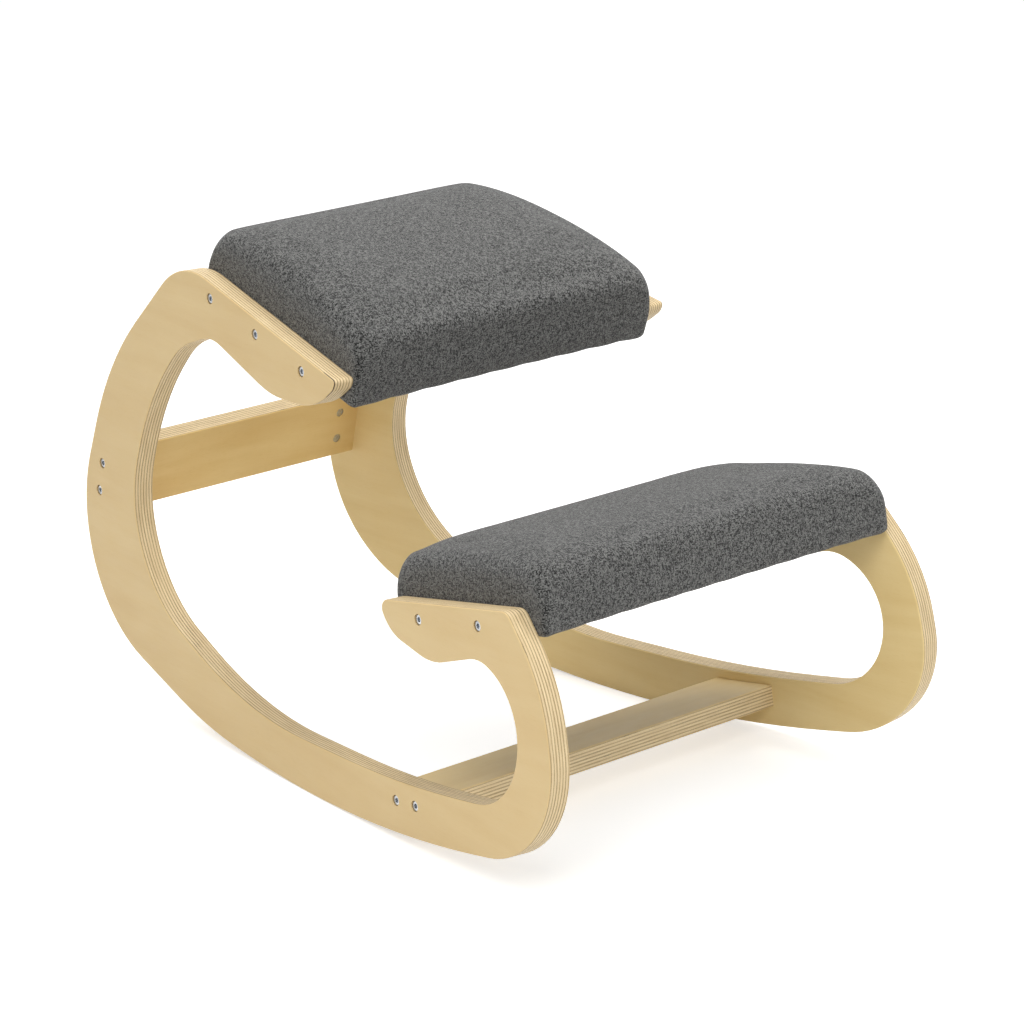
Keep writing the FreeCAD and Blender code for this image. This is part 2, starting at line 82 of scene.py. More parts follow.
def board_plies():
    """All plies of a board, with a face on each side."""
    plies = [(FACE_PLY, "face")]
    for layer in range(CROSS_PLIES):
        start = FACE_PLY + layer * (CROSS_PLY + LONG_PLY)
        plies += [(start + CROSS_PLY, "cross"), (start + CROSS_PLY + LONG_PLY, "long")]
    plies[-1] = (1.0, "face")
    return plies


PLIES = board_plies()
GLUE_LINE = 0.012

# Where the painted shade along the open joint at the seat arm's tip fades out, and half the width
# of that dark line
JOINT_SHADE_REACH = (0.019, 0.022)
JOINT_SHADE_HALF = 0.00045

# Wood of each board: its material, and what differs from the settings' tones. The lighter tones of
# the left frame and the crossbars are partly their own veneer and partly painted light.
BOARD_WOODS = {
    "right_side_frame": ("right_frame_plywood", {"Figure": 0.75}),
    "left_side_frame": ("left_frame_plywood", {
        "Figure": 0.85, "Face Light": (0.90, 0.71, 0.36, 1.0),
        "Face Dark": (0.76, 0.54, 0.21, 1.0)}),
    "rear_crossbar": ("rear_bar_plywood", {
        "Figure": 1.0, "Face Light": (0.90, 0.67, 0.30, 1.0),
        "Face Dark": (0.72, 0.46, 0.15, 1.0)}),
    # The front crossbar's lighter face and edge tones are partly painted light on its upward face.
    "front_crossbar": ("front_bar_plywood", {
        "Figure": 0.9, "Face Light": (0.90, 0.71, 0.38, 1.0),
        "Face Dark": (0.74, 0.54, 0.25, 1.0), "Edge Light": (0.95, 0.79, 0.50, 1.0),
        "Edge Dark": (0.62, 0.44, 0.22, 1.0)}),
}

# Soft lamps round the chair: name, place, size and power
LAMPS = [
    ("key_lamp", (-1.8, -1.6, 2.4), 1.6, 36.0),
    ("top_lamp", (0.3, 0.3, 2.9), 2.0, 52.0),
    ("fill_lamp", (1.8, -2.2, 1.2), 1.8, 14.0),
]
LAMP_TARGET = (0.0, 0.0, 0.25)
FLOOR_HALF = 30.0
FLOOR_GLOW = 0.55
ROOM_LIGHT = 0.42

ROOT = "root"


def settings():
    """The sizes and colours that a user may change."""
    return bpy.context.scene.kneeling_chair


class Pad:
    """Where a pad lies between the frames. Heights and lengths follow the arm that carries it."""

    def __init__(self, name, arm, slope, rear, front, bottom):
        angle = math.radians(slope)
        place = FRAME_START + FRAME_FORWARD * arm[0] + FRAME_UP * arm[1]
        self.name = name
        self.start = np.array((0.0, place.y, place.z))
        self.ahead = np.array((0.0, -math.cos(angle), -math.sin(angle)))
        self.up = np.array((0.0, -math.sin(angle), math.cos(angle)))
        self.rear = rear
        self.front = front
        self.bottom = bottom

    def half_width(self, points):
        """Half the distance between the frames' inner faces beside each point."""
        lean = (FRAME_OUTWARD.y * (points[:, 1] - FRAME_START.y)
                + FRAME_OUTWARD.z * (points[:, 2] - FRAME_START.z)) / FRAME_OUTWARD.x
        return lean - FRAME_START.x

    def local(self, points):
        """Points as (across, along, up)."""
        away = points - self.start
        return points[:, 0], away @ self.ahead, away @ self.up

    def place(self, share, along, up):
        """A point by its share of the half width, its length along and its height."""
        point = self.start + self.ahead * along + self.up * up
        point[0] = share * self.half_width(point[None, :])[0]
        return point


# Each pad: its arm's start on the frame's profile, slope, rear and front ends, and underside
PADS = {
    "seat": Pad("seat", (0.1975, 0.5180), 13.1, 0.019, 0.301, -0.034),
    "knee": Pad("knee", (0.5650, 0.2455), -12.1, 0.000, 0.241, -0.027),
}
# Clearance between a cushion and the frames, and the size of a cushion's cells
PAD_GAP = 0.0005
PAD_GRID = 0.005

# Forms of the cushions, in metres. The front lies front_gap behind the pad's. The sides rise by
# edge, and between their ends they lie back by draw_in and stand out by bulge. The lower edge
# stands out by the flares. The crown is full up to where its powers, full_along and full_across,
# let it fall. The upright corners are rounded by corner_round below and by corner_soft more above.
# The hem hangs down by puff between staples and by corner_droop at the corners.
CUSHION_SHAPES = {
    "seat": {"front_gap": 0.003, "edge": 0.0715, "draw_in": 0.003, "front_flare": -0.001,
             "rear_flare": 0.003, "corner_droop": 0.003, "full_along": 2.3,
             "full_across": 28.0, "bulge": 0.002, "corner_round": 0.004,
             "corner_soft": 0.017, "edge_round": 0.011,
             "hem_round": 0.0028, "puff": 0.0022, "puff_pitch": 0.0455, "puff_phase": 0.9},
    "knee": {"front_gap": 0.0, "edge": 0.0648, "draw_in": 0.003, "front_flare": 0.0,
             "rear_flare": 0.002, "corner_droop": 0.003, "full_along": 2.0,
             "full_across": 34.0, "bulge": 0.004, "corner_round": 0.004,
             "corner_soft": 0.017, "edge_round": 0.011,
             "hem_round": 0.0028, "puff": 0.0020, "puff_pitch": 0.0430, "puff_phase": 0.5},
}

# Reach of the hem's puffs and of the corners' droop from the ends, and how fast they fade inward
PUFF_REACH = 0.012
DROOP_REACH = 0.034
CORNER_POWER = 12
SOFT_POWER = 8
CORNER_RISE = 1.8
HELD_HEIGHT = 0.004

# Steps that draw a block onto its form and swell it
WRAP_ROUNDS = 10
WRAP_STEPS = 4
WRAP_STEP = 1e-4
WRAP_STEEPEST = 0.25
EVEN_ROUNDS = 12
SWELL_FRAMES = 20
CLOTH_QUALITY = 5
CLOTH_STIFFNESS = 12.0
CLOTH_BENDING = 0.6
PAD_ITEMS = [("seat", "Seat", "The pad that is sat on"), ("knee", "Knee rest", "The shins' pad")]


class NodeMaker:
    """Adds nodes to a tree and links them."""

    def __init__(self, tree):
        self.tree = tree

    def add(self, kind, inputs=None, **options):
        """A node with its options and inputs set. An input is a value or another node's output."""
        node = self.tree.nodes.new(kind)
        for name, value in options.items():
            setattr(node, name, value)
        for key, value in (inputs or {}).items():
            if isinstance(value, bpy.types.NodeSocket):
                self.tree.links.new(value, node.inputs[key])
            else:
                node.inputs[key].default_value = value
        return node

    def math(self, operation, first, second=0.0):
        """Output of a Math node."""
        return self.add("ShaderNodeMath", {0: first, 1: second}, operation=operation).outputs[0]

    def blend(self, factor, first, second, blend_type="MIX"):
        """Output of a Mix node for two colours."""
        node = self.add("ShaderNodeMix", {0: factor, 6: first, 7: second},
                        data_type="RGBA", blend_type=blend_type)
        return node.outputs[2]

    def noise(self, vector, scale, detail=2.0, roughness=0.5):
        """Value of a Noise Texture."""
        node = self.add("ShaderNodeTexNoise", {"Vector": vector, "Scale": scale,
                                               "Detail": detail, "Roughness": roughness})
        return node.outputs["Fac"]

    def spread(self, value, low, high, to_low=0.0, to_high=1.0):
        """Value stretched from one range to another and held inside it."""
        node = self.add("ShaderNodeMapRange", {"Value": value, "From Min": low, "From Max": high,
                                               "To Min": to_low, "To Max": to_high})
        return node.outputs[0]

    def stretch(self, vector, scale):
        """Vector multiplied by a scale for each direction."""
        node = self.add("ShaderNodeVectorMath", {0: vector, 1: scale}, operation="MULTIPLY")
        return node.outputs[0]


def node_group(name, inputs, outputs):
    """An empty shader group with named sockets, its maker, and its input and output nodes."""
    group = bpy.data.node_groups.new(name, "ShaderNodeTree")
    for label, kind, default in inputs:
        socket = group.interface.new_socket(label, in_out="INPUT", socket_type=kind)
        if default is not None:
            socket.default_value = default
    for label, kind in outputs:
        group.interface.new_socket(label, in_out="OUTPUT", socket_type=kind)
    make = NodeMaker(group)
    return group, make, make.add("NodeGroupInput").outputs, make.add("NodeGroupOutput").inputs


def plies_ramp(make, share, colours, glue):
    """Colour by depth in the board, with a thin glue line between the plies."""
    node = make.add("ShaderNodeValToRGB", {0: share})
    ramp = node.color_ramp
    ramp.interpolation = "CONSTANT"
    ramp.elements[1].position = 1.0
    stops = []
    start = 0.0
    for end, kind in PLIES:
        stops.append((start, colours[kind]))
        if end < 1.0:
            stops.append((end - GLUE_LINE / 2, glue))
        start = end + GLUE_LINE / 2
    ramp.elements[0].color = stops[0][1]
    ramp.elements[1].color = stops[-1][1]
    for position, colour in stops[1:]:
        ramp.elements.new(position).color = colour
    return node.outputs[0]


def grey(value):
    """An opaque grey."""
    return (value, value, value, 1.0)


def wood_grain_group():
    """Figure of rotary-cut birch: broad soft streaks, fine pores and a mask for its height."""
    group, make, given, result = node_group(
        "Birch grain",
        [("Vector", "NodeSocketVector", None), ("Light", "NodeSocketColor", grey(0.6)),
         ("Dark", "NodeSocketColor", grey(0.4)), ("Figure", "NodeSocketFloat", 1.0)],
        [("Color", "NodeSocketColor"), ("Height", "NodeSocketFloat")])
    vector = given["Vector"]
    bend = make.noise(make.stretch(vector, (1.6, 5.0, 5.0)), 1.0, 1.0)
    bent = make.add("ShaderNodeVectorMath", {0: vector}, operation="ADD")
    offset = make.add("ShaderNodeCombineXYZ", {1: make.math("MULTIPLY", bend, 0.10)})
    make.tree.links.new(offset.outputs[0], bent.inputs[1])
    broad = make.noise(make.stretch(bent.outputs[0], (3.5, 42.0, 42.0)), 1.0, 3.0, 0.55)
    cloud = make.noise(make.stretch(vector, (7.0, 11.0, 11.0)), 1.0, 2.0)
    pores = make.noise(make.stretch(vector, (90.0, 1100.0, 1100.0)), 1.0, 2.0, 0.6)
    tone = make.spread(broad, 0.30, 0.72)
    tone = make.math("MULTIPLY", tone, 0.50)
    tone = make.math("ADD", tone, make.math("MULTIPLY", make.spread(cloud, 0.3, 0.7), 0.40))
    tone = make.math("ADD", tone, make.math("MULTIPLY", make.spread(pores, 0.56, 0.72), 0.22))
    tone = make.math("MULTIPLY", tone, given["Figure"])
    tone = make.add("ShaderNodeClamp", {0: tone}).outputs[0]
    make.tree.links.new(make.blend(tone, given["Light"], given["Dark"]), result["Color"])
    make.tree.links.new(make.math("SUBTRACT", 1.0, pores), result["Height"])
    return group


def plywood_group(grain):
    """Plywood by depth in the board: veneers, glue lines, end grain, and near-black painted shade
    in a few voids and open joints.
    """
    group, make, given, result = node_group(
        "Birch plywood",
        [("Vector", "NodeSocketVector", None), ("Face Light", "NodeSocketColor", grey(0.6)),
         ("Face Dark", "NodeSocketColor", grey(0.4)), ("Edge Light", "NodeSocketColor", grey(0.6)),
         ("Edge Dark", "NodeSocketColor", grey(0.3)), ("Glue", "NodeSocketColor", grey(0.1)),
         ("Figure", "NodeSocketFloat", 1.0), ("Split", "NodeSocketFloat", 0.0)],
        [("Color", "NodeSocketColor"), ("Roughness", "NodeSocketFloat"),
         ("Height", "NodeSocketFloat")])
    vector = given["Vector"]
    depth = make.add("ShaderNodeSeparateXYZ", {0: vector}).outputs[2]
    share = make.math("DIVIDE", depth, BOARD)
    masks = {"face": (1, 0, 0, 1), "cross": (0, 1, 0, 1), "long": (0, 0, 0, 1)}
    kinds = plies_ramp(make, share, masks, (0, 0.5, 1, 1))
    split = make.add("ShaderNodeSeparateColor", {0: kinds})
    face_mask, cross_mask, glue_mask = split.outputs[0], split.outputs[1], split.outputs[2]

    face = make.add("ShaderNodeGroup", node_tree=grain)
    for key in ("Vector", "Figure"):
        make.tree.links.new(given[key], face.inputs[key])
    make.tree.links.new(given["Face Light"], face.inputs["Light"])
    make.tree.links.new(given["Face Dark"], face.inputs["Dark"])

    runs = make.noise(make.stretch(vector, (34.0, 34.0, 900.0)), 1.0, 3.0, 0.6)
    specks = make.noise(make.stretch(vector, (700.0, 700.0, 900.0)), 1.0, 2.0, 0.6)
    edge_tone = make.math("MULTIPLY", make.spread(runs, 0.36, 0.68), 0.45)
    rough_grain = make.math("MULTIPLY", make.spread(specks, 0.35, 0.65), 0.35)
    crossing = make.math("ADD", make.math("MULTIPLY", cross_mask, 0.50),
                         make.math("MULTIPLY", rough_grain, make.math("ADD", cross_mask, 0.35)))
    edge_tone = make.add("ShaderNodeClamp", {0: make.math("ADD", edge_tone, crossing)}).outputs[0]
    edge = make.blend(edge_tone, given["Edge Light"], given["Edge Dark"])

    strength = make.noise(make.stretch(vector, (20.0, 20.0, 260.0)), 1.0, 1.0)
    line = make.math("MULTIPLY", glue_mask, make.spread(strength, 0.33, 0.60, 0.25, 0.85))
    # Voids in the glue lines, and the open joint from the group's input, are painted near-black
    # and sunk a little: painted shade in the hollows.
    void_noise = make.noise(make.stretch(vector, (26.0, 26.0, 210.0)), 1.0, 1.0)
    void_shade = make.math("MULTIPLY", glue_mask, make.spread(void_noise, 0.70, 0.73))
    void_shade = make.math("MAXIMUM", void_shade, given["Split"])
    edge = make.blend(line, edge, given["Glue"])
    colour = make.blend(face_mask, edge, face.outputs["Color"])
    colour = make.blend(void_shade, colour, (0.035, 0.022, 0.014, 1.0))
    make.tree.links.new(colour, result["Color"])

    sheen = make.noise(make.stretch(vector, (30.0, 90.0, 90.0)), 1.0, 2.0)
    roughness = make.spread(sheen, 0.3, 0.7, 0.40, 0.52)
    roughness = make.math("ADD", roughness, make.math("MULTIPLY", cross_mask, 0.14))
    make.tree.links.new(roughness, result["Roughness"])
    height = make.math("MULTIPLY", face.outputs["Height"], face_mask)
    height = make.math("ADD", height, make.math("MULTIPLY", specks, cross_mask))
    height = make.math("SUBTRACT", height, make.math("MULTIPLY", void_shade, 3.0))
    make.tree.links.new(height, result["Height"])
    return group


def weave_group():
    """Plain weave of mottled yarn on a map in metres: colour, and the height of the yarns."""
    group, make, given, result = node_group(
        "Mottled weave",
        [("Vector", "NodeSocketVector", None), ("Yarn", "NodeSocketFloat", 0.001),
         ("Dark", "NodeSocketColor", grey(0.05)), ("Light", "NodeSocketColor", grey(0.2)),
         ("Mottle", "NodeSocketFloat", 1.0)],
        [("Color", "NodeSocketColor"), ("Height", "NodeSocketFloat")])
    axes = make.add("ShaderNodeSeparateXYZ", {0: given["Vector"]}).outputs
    across = make.math("DIVIDE", axes[0], given["Yarn"])
    along = make.math("DIVIDE", axes[1], given["Yarn"])
    warp = make.math("FLOOR", across)
    weft = make.math("FLOOR", along)
    over = make.math("FLOORED_MODULO", make.math("ADD", warp, weft), 2.0)
    tones = []
    for yarn, run in ((warp, along), (weft, across)):
        place = make.add("ShaderNodeCombineXYZ", {0: make.math("MULTIPLY", yarn, 5.37),
                                                  1: make.math("MULTIPLY", run, 0.28)})
        tones.append(make.noise(place.outputs[0], 1.0, 1.0))
    tone = make.add("ShaderNodeMix", {0: over, 2: tones[0], 3: tones[1]}).outputs[0]
    tone = make.spread(tone, 0.40, 0.63)
    cloud = make.noise(given["Vector"], 30.0, 2.0, 0.5)
    shade = make.math("MULTIPLY", make.math("SUBTRACT", cloud, 0.5), 0.12)
    centred = make.math("MULTIPLY", make.math("SUBTRACT", tone, 0.5), given["Mottle"])
    tone = make.math("ADD", make.math("ADD", centred, 0.5), shade)
    tone = make.add("ShaderNodeClamp", {0: tone}).outputs[0]
    make.tree.links.new(make.blend(tone, given["Dark"], given["Light"]), result["Color"])
    crowns = []
    for run in (across, along):
        share = make.math("FRACT", run)
        crowns.append(make.math("SINE", make.math("MULTIPLY", share, math.pi)))
    height = make.math("SQRT", make.math("MULTIPLY", crowns[0], crowns[1]))
    make.tree.links.new(height, result["Height"])
    return group


def new_material(name):
    """A material with only its shader and output, and the maker of its nodes."""
    material = bpy.data.materials.new(name)
    material.use_nodes = True
    material.node_tree.nodes.clear()
    make = NodeMaker(material.node_tree)
    shader = make.add("ShaderNodeBsdfPrincipled")
    make.add("ShaderNodeOutputMaterial", {"Surface": shader.outputs[0]})
    return material, make, shader


def finish_surface(make, shader, colour, height, distance, strength=1.0):
    """Links colour and bump to the shader."""
    bump = make.add("ShaderNodeBump", {"Height": height, "Distance": distance,
                                       "Strength": strength})
    make.tree.links.new(colour, shader.inputs["Base Color"])
    make.tree.links.new(bump.outputs[0], shader.inputs["Normal"])


def board_axes(face, normal):
    """Turn and shift that put a board's length on X and its depth under the shown face on Z."""
    inward = -normal
    across = inward.cross(Vector((1, 0, 0)))
    turn = Matrix((Vector((1, 0, 0)), across, inward))
    return turn, -(turn @ face)


def plywood_material(name, group, turn, shift, mirrored, tones_with_light, split=None):
    """Plywood whose layers lie in one board, by the board's turn and shift."""
    material, make, shader = new_material(name)
    place = make.add("ShaderNodeTexCoord").outputs["Object"]
    mapped = make.add("ShaderNodeMapping", {
        "Vector": place, "Location": shift, "Rotation": turn.to_euler("XYZ"),
        "Scale": (-1.0 if mirrored else 1.0, 1.0, 1.0)})
    chair = settings()
    board = make.add("ShaderNodeGroup", {
        "Vector": mapped.outputs[0],
        "Face Light": (*chair.veneer_light, 1.0), "Face Dark": (*chair.veneer_dark, 1.0),
        "Edge Light": (*chair.edge_light, 1.0), "Edge Dark": (*chair.edge_dark, 1.0),
        "Glue": (*chair.glue, 1.0)}, node_tree=group)
    for key, value in tones_with_light.items():
        board.inputs[key].default_value = value
    # Round the given point the seam under the face ply is painted near-black: painted shade of an
    # open joint.
    if split is not None:
        away = make.add("ShaderNodeVectorMath", {0: place, 1: split}, operation="DISTANCE")
        near = make.spread(away.outputs["Value"], *JOINT_SHADE_REACH, 1.0, 0.0)
        depth = make.add("ShaderNodeSeparateXYZ", {0: mapped.outputs[0]}).outputs[2]
        seam = make.math("COMPARE", depth, BOARD * (1 - PLIES[0][0]))
        seam.node.inputs[2].default_value = JOINT_SHADE_HALF
        make.tree.links.new(make.math("MULTIPLY", near, seam), board.inputs["Split"])
    make.tree.links.new(board.outputs["Roughness"], shader.inputs["Roughness"])
    shader.inputs["Specular IOR Level"].default_value = 0.35
    finish_surface(make, shader, board.outputs["Color"], board.outputs["Height"], 0.00012)
    return material


def wear(node, material):
    """Gives a CAD node one material."""
    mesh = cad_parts[node].data
    mesh.materials.clear()
    mesh.materials.append(material)


def make_object(name, vertices, faces, smooth=True):
    """A mesh object in the scene, with its place in its mesh."""
    mesh = bpy.data.meshes.new(name)
    mesh.from_pydata([tuple(v) for v in vertices], [], faces)
    mesh.update()
    mesh.polygons.foreach_set("use_smooth", [smooth] * len(mesh.polygons))
    piece = bpy.data.objects.new(name, mesh)
    bpy.context.scene.collection.objects.link(piece)
    return piece


def set_places(mesh, points):
    """Moves a mesh's points."""
    mesh.vertices.foreach_set("co", np.asarray(points, np.float32).ravel())
    mesh.update()


def places(mesh):
    """A mesh's points as an array."""
    points = np.zeros(len(mesh.vertices) * 3)
    mesh.vertices.foreach_get("co", points)
    return points.reshape(-1, 3)


def bake_modifiers(piece):
    """Replaces a piece's mesh by what its modifiers make of it, and removes them."""
    graph = bpy.context.evaluated_depsgraph_get()
    made = bpy.data.meshes.new_from_object(piece.evaluated_get(graph), depsgraph=graph)
    piece.modifiers.clear()
    piece.data = made
    made.name = piece.name


def block_surface(counts):
    """Points and outward quads on the six sides of a block of cells."""
    index = {}
    quads = []

    def corner(key):
        return index.setdefault(key, len(index))

    for axis in range(3):
        second, third = (axis + 1) % 3, (axis + 2) % 3
        for end in (0, counts[axis]):
            for i in range(counts[second]):
                for j in range(counts[third]):
                    quad = []
                    for di, dj in ((0, 0), (1, 0), (1, 1), (0, 1)):
                        key = [0, 0, 0]
                        key[axis], key[second], key[third] = end, i + di, j + dj
                        quad.append(corner(tuple(key)))
                    quads.append(quad if end else quad[::-1])
    return np.array(list(index)) / np.array(counts), quads


def rounded_join(first, second, radius):
    """Signed distance to what two forms share, with the edge between them rounded."""
    inner = np.minimum(np.maximum(first + radius, second + radius), 0.0)
    outer = np.hypot(np.maximum(first + radius, 0.0), np.maximum(second + radius, 0.0))
    return inner + outer - radius


def cushion_form(pad, shape, points):
    """Signed distance from a pad's resting form: crowned, drawn in, and puffed between staples."""
    across, along, up = pad.local(points)
    half = pad.half_width(points)
    share = np.clip(across / half, -1.2, 1.2)
    length = pad.front - pad.rear - shape["front_gap"]
    middle = pad.rear + length / 2
    run = np.clip((along - pad.rear) / length * 2 - 1, -1.2, 1.2)
    draw = shape["draw_in"] * np.clip(1 - share ** 2, 0, 1)
    side = (np.abs(across) - half + PAD_GAP) * abs(FRAME_OUTWARD.x)
    height = np.clip((up - pad.bottom) / shape["edge"], 0.0, 1.0)
    flare = np.where(along > middle, shape["front_flare"], shape["rear_flare"]) * (1 - height)
    ends = np.abs(along - middle) - length / 2 + draw - flare
    ends = ends - shape["bulge"] * 4 * height * (1 - height)
    crown = (1 - np.abs(np.clip(run, -1, 1)) ** shape["full_along"])
    crown = crown * (1 - np.abs(np.clip(share, -1, 1)) ** shape["full_across"])
    top = up - (pad.bottom + shape["edge"] + shape["crown"] * crown)
    puffs = np.abs(np.sin(across * math.pi / shape["puff_pitch"] + shape["puff_phase"]))
    from_end = length / 2 - np.abs(along - middle)
    near_end = np.clip(1 - from_end / PUFF_REACH, 0, 1)
    puff = shape["puff"] * puffs * near_end * np.clip(1 - share ** CORNER_POWER, 0, 1)
    near_corner = np.clip(1 - from_end / DROOP_REACH, 0, 1) * share ** CORNER_POWER
    puff = puff + shape["corner_droop"] * near_corner
    low = pad.bottom - puff - up
    above = np.clip(height * CORNER_RISE - (CORNER_RISE - 1), 0, 1)
    corner = shape["corner_round"] + shape["corner_soft"] * above
    form = rounded_join(side, ends, corner)
    soft = shape["corner_soft"] * np.abs(np.clip(share * run, -1, 1)) ** SOFT_POWER
    form = rounded_join(form, top, shape["edge_round"] + soft)
    return rounded_join(form, low, shape["hem_round"])


def wrap_form(distance, points, quads):
    """Draws a block's surface onto a form and evens its cells."""
    count = len(points)
    edges = np.array([(q[i], q[(i + 1) % 4]) for q in quads for i in range(4)])
    near = np.bincount(edges.ravel(), minlength=count).astype(float)[:, None]
    step = WRAP_STEP
    for turn in range(WRAP_ROUNDS):
        if turn:
            total = np.zeros_like(points)
            np.add.at(total, edges[:, 0], points[edges[:, 1]])
            np.add.at(total, edges[:, 1], points[edges[:, 0]])
            points = points + 0.5 * (total / near - points)
        for _ in range(WRAP_STEPS):
            value = distance(points)
            slope = np.stack([distance(points + step * axis) - distance(points - step * axis)
                              for axis in np.eye(3)], axis=1) / (2 * step)
            size = np.maximum((slope ** 2).sum(axis=1), WRAP_STEEPEST)
            points = points - slope * (value / size)[:, None]
    return points


def evened(field, edges, rounds):
    """A value for each point, averaged with its neighbours' again and again."""
    near = np.bincount(edges.ravel(), minlength=len(field)).astype(float)[:, None]
    for _ in range(rounds):
        total = np.zeros_like(field)
        np.add.at(total, edges[:, 0], field[edges[:, 1]])
        np.add.at(total, edges[:, 1], field[edges[:, 0]])
        field = 0.5 * field + 0.5 * total / near
    return field


def puff_up(piece, held, pressure, limit):
    """Swells a closed piece by cloth under pressure, and holds how far each point may move.
    Only what pushes the cloth outward is kept, evened out, so that no waves are left."""
    start = places(piece.data)
    outward = np.zeros(len(piece.data.vertices) * 3)
    piece.data.vertices.foreach_get("normal", outward)
    outward = outward.reshape(-1, 3)
    edges = np.zeros(len(piece.data.edges) * 2, int)
    piece.data.edges.foreach_get("vertices", edges)
    edges = edges.reshape(-1, 2)
    group = piece.vertex_groups.new(name="held")
    group.add([int(i) for i in held], 1.0, "REPLACE")
    cloth = piece.modifiers.new("Cloth", "CLOTH")
    cloth.settings.use_pressure = True
    cloth.settings.uniform_pressure_force = pressure
    cloth.settings.effector_weights.gravity = 0.0
    cloth.settings.vertex_group_mass = group.name
    cloth.settings.quality = CLOTH_QUALITY
    cloth.settings.tension_stiffness = CLOTH_STIFFNESS
    cloth.settings.compression_stiffness = CLOTH_STIFFNESS
    cloth.settings.bending_stiffness = CLOTH_BENDING
    cloth.point_cache.frame_start = 1
    cloth.point_cache.frame_end = SWELL_FRAMES
    scene = bpy.context.scene
    for number in range(1, SWELL_FRAMES + 1):
        scene.frame_set(number)
    graph = bpy.context.evaluated_depsgraph_get()
    moved = places(piece.evaluated_get(graph).data) - start
    piece.modifiers.clear()
    piece.vertex_groups.clear()
    scene.frame_set(1)
    rise = np.maximum((moved * outward).sum(axis=1), 0.0)[:, None]
    rise = limit * np.tanh(rise / limit)
    rise[held] = 0.0
    return start + outward * evened(rise, edges, EVEN_ROUNDS)


def lay_map(piece, pad):
    """Map in metres that follows the cloth: over the top, and down each side."""
    mesh = piece.data
    across, along, up = pad.local(places(mesh))
    place = np.stack((across, along, up), axis=1)
    corners = np.zeros(len(mesh.loops), int)
    mesh.loops.foreach_get("vertex_index", corners)
    normals = np.zeros(len(mesh.polygons) * 3)
    mesh.polygons.foreach_get("normal", normals)
    normals = normals.reshape(-1, 3)
    facing = np.abs(np.stack((normals[:, 0], normals @ pad.ahead, normals @ pad.up), axis=1))
    sizes = np.zeros(len(mesh.polygons), int)
    mesh.polygons.foreach_get("loop_total", sizes)
    side = np.repeat(facing.argmax(axis=1), sizes)
    first = np.array([1, 0, 0])[side]
    second = np.array([2, 2, 1])[side]
    rows = place[corners]
    picked = np.arange(len(corners))
    flat = np.stack((rows[picked, first], rows[picked, second]), axis=1)
    layer = mesh.uv_layers.new(name="cloth_map")
    layer.data.foreach_set("uv", flat.astype(np.float32).ravel())


def staple_places(pad, margin, pitch):
    """Places round a pad's underside, each with the direction of the edge beside it."""
    found = []
    length = pad.front - pad.rear - 2 * margin
    count = max(2, round(length / pitch))
    for i in range(count):
        along = pad.rear + margin + length * (i + 0.5) / count
        for side in (-1, 1):
            here = pad.place(side, along, pad.bottom)
            ahead = pad.place(side, along + 0.001, pad.bottom)
            shift = np.array((-side * margin / abs(FRAME_OUTWARD.x), 0.0, 0.0))
            direction = (ahead - here) / np.linalg.norm(ahead - here)
            found.append((here + shift, direction))
    for along in (pad.rear + margin, pad.front - margin):
        width = pad.place(1, along, pad.bottom)[0] - margin / abs(FRAME_OUTWARD.x)
        count = max(2, round(2 * width / pitch))
        for i in range(count):
            here = pad.place(0, along, pad.bottom)
            here[0] = width * (2 * (i + 0.5) / count - 1)
            found.append((here, np.array((1.0, 0.0, 0.0))))
    return found


